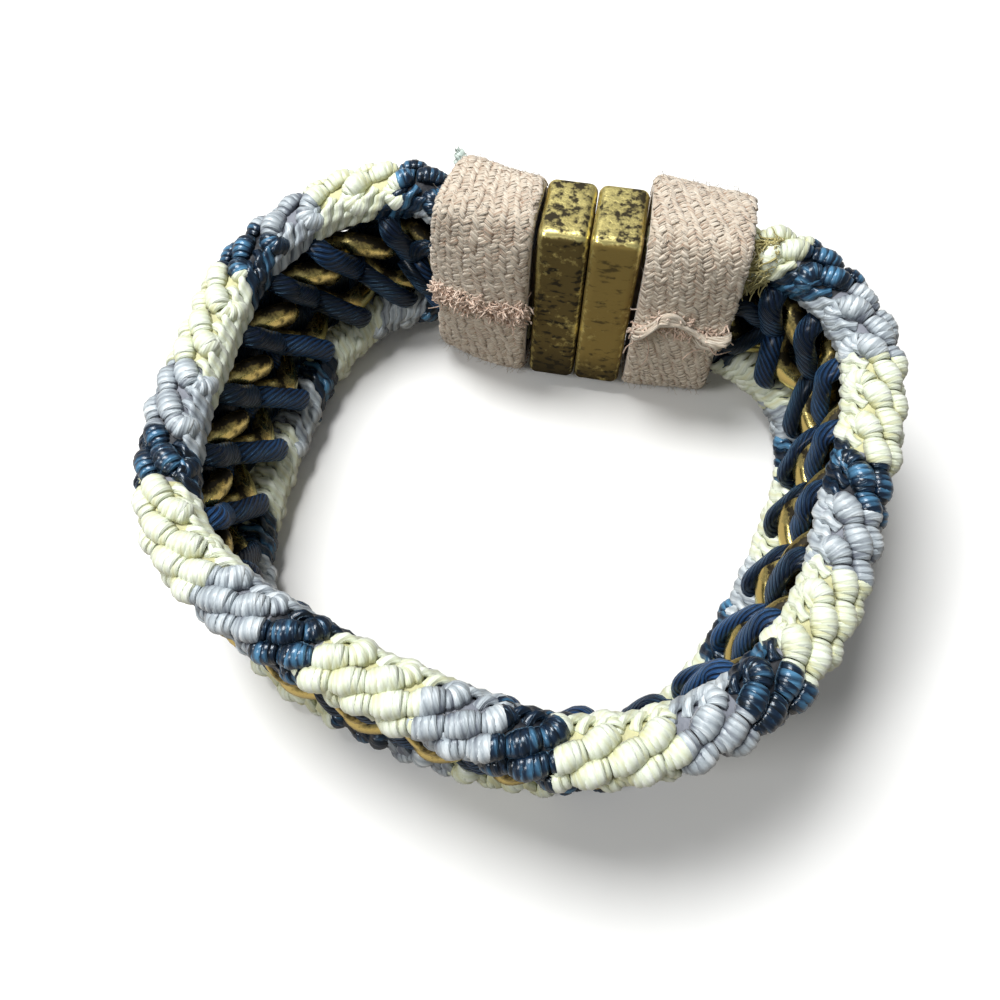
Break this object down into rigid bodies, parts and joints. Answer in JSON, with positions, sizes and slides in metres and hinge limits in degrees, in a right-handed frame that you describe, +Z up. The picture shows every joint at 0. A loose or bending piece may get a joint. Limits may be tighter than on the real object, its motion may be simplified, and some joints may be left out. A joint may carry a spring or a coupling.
{
  "type": "woven bracelet",
  "caption": "Wide bracelet of two knotted cord bands laced to a curb chain between them, its ends bound in ribbon beside a magnetic bar clasp, standing on its lower edge.",
  "frame": {"origin": "middle of the bracelet's outline on the surface that it stands on", "axes": "+Z up through the wrist opening, +Y towards the clasp, +X to the right with the clasp at the far side"},
  "size_m": [0.066, 0.057, 0.0219],
  "materials": {
    "cream_cord": "satin twisted cord, knotted",
    "grey_cord": "satin twisted cord, knotted",
    "navy_cord": "satin twisted cord",
    "chain_brass": "antiqued, polished on the high spots",
    "clasp_brass": "antiqued, dark patina in the hollows",
    "pink_ribbon": "matt woven cotton, frayed edge"
  },
  "bodies": {
    "root": {"upper_band": "cream_cord", "lower_band": "cream_cord", "upper_lacing": "navy_cord", "lower_lacing": "navy_cord", "clasp_left": "clasp_brass", "clasp_right": "clasp_brass", "end_wrap_left": "pink_ribbon", "end_wrap_right": "pink_ribbon", "link_01": "chain_brass", "link_02": "chain_brass", "link_03": "chain_brass", "link_04": "chain_brass", "link_05": "chain_brass", "link_06": "chain_brass", "link_07": "chain_brass", "link_08": "chain_brass", "link_09": "chain_brass", "link_10": "chain_brass", "link_11": "chain_brass", "link_12": "chain_brass", "link_13": "chain_brass", "link_14": "chain_brass", "link_15": "chain_brass", "link_16": "chain_brass", "link_17": "chain_brass", "link_18": "chain_brass", "link_19": "chain_brass", "link_20": "chain_brass", "link_21": "chain_brass", "link_22": "chain_brass", "link_23": "chain_brass", "link_24": "chain_brass"}
  },
  "joints": []
}
